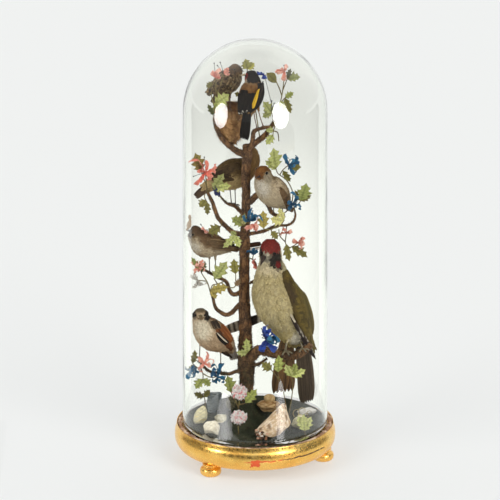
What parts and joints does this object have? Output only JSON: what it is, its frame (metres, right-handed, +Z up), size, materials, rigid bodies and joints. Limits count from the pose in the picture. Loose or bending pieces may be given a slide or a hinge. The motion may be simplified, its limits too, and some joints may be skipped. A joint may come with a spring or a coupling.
{
  "type": "taxidermy bird group under a glass dome",
  "caption": "Mounted birds and a nest on an artificial tree with cloth leaves and flowers, under a tall glass dome on a round gilt base with bun feet.",
  "frame": {"origin": "middle of the standing surface, on the dome's vertical axis, at the height of the bun feet's bottoms", "axes": "+X to the right of the group, +Y to its back, +Z up along the dome's axis; the birds' front faces -Y"},
  "size_m": [0.2676, 0.2676, 0.7235],
  "materials": {
    "gilt": "turned wood, water-gilt gold leaf over red bole, worn and cracked",
    "plush": "worn brown plush cord",
    "glass": "clear blown glass, polished",
    "moss": "dried dark moss",
    "bark": "wire and wood bound with brown fibre, matt",
    "nest_fibre": "dry plant fibre",
    "plumage_young": "mottled brown feathers",
    "plumage_goldfinch": "brown, black and yellow feathers",
    "plumage_olive": "olive brown feathers",
    "plumage_blackcap": "grey beige feathers, rusty cap",
    "plumage_brown": "brown feathers",
    "plumage_sparrow": "cream and rust feathers",
    "plumage_woodpecker": "olive green feathers, red crown",
    "moth_wing": "ochre, dusty",
    "cloth_foliage": "stiffened cloth leaves and petals on wire",
    "pale_stone": "stone, rough",
    "grey_stone": "slate, rough",
    "fungus": "dried bracket fungus, spotted"
  },
  "bodies": {
    "root": {"gilt_base": "gilt", "bun_foot_front_left": "gilt", "bun_foot_right": "gilt", "bun_foot_back": "gilt", "rebate_band": "plush", "glass_dome": "glass", "moss_ground": "moss", "trunk": "bark", "branch_top_left": "bark", "branch_top_right": "bark", "perch_goldfinch": "bark", "branch_middle_left": "bark", "perch_olive_bird": "bark", "perch_blackcap": "bark", "branch_middle_right": "bark", "perch_brown_bird": "bark", "branch_lower_loop": "bark", "perch_woodpecker": "bark", "twig_low_right": "bark", "twig_sparrow": "bark", "nest": "nest_fibre", "bird_young": "plumage_young", "bird_goldfinch": "plumage_goldfinch", "bird_olive": "plumage_olive", "bird_blackcap": "plumage_blackcap", "bird_brown": "plumage_brown", "bird_sparrow": "plumage_sparrow", "bird_woodpecker": "plumage_woodpecker", "moth": "moth_wing", "sprig_crown_left": "cloth_foliage", "sprig_crown_middle": "cloth_foliage", "sprig_crown_right": "cloth_foliage", "sprig_fork_right": "cloth_foliage", "sprig_left_upper": "cloth_foliage", "sprig_left_inner": "cloth_foliage", "sprig_centre": "cloth_foliage", "sprig_left_middle": "cloth_foliage", "sprig_wing_leaf": "cloth_foliage", "sprig_right_centre": "cloth_foliage", "sprig_right_upper": "cloth_foliage", "sprig_right_middle": "cloth_foliage", "sprig_right_lower": "cloth_foliage", "sprig_trunk_blue": "cloth_foliage", "sprig_left_low_flowers": "cloth_foliage", "sprig_left_low_leaves": "cloth_foliage", "sprig_sparrow": "cloth_foliage", "sprig_carnations": "cloth_foliage", "sprig_trunk_leaf": "cloth_foliage", "sprig_perch_blue": "cloth_foliage", "sprig_low_right": "cloth_foliage", "sprig_ground_right": "cloth_foliage", "sprig_ground_left": "cloth_foliage", "stone_white": "pale_stone", "stone_slate": "grey_stone", "stone_grey_slab": "grey_stone", "stone_flat": "grey_stone", "stone_cone": "pale_stone", "stone_streaked": "pale_stone", "stone_pale_chip": "pale_stone", "shell_fungus": "fungus"}
  },
  "joints": []
}
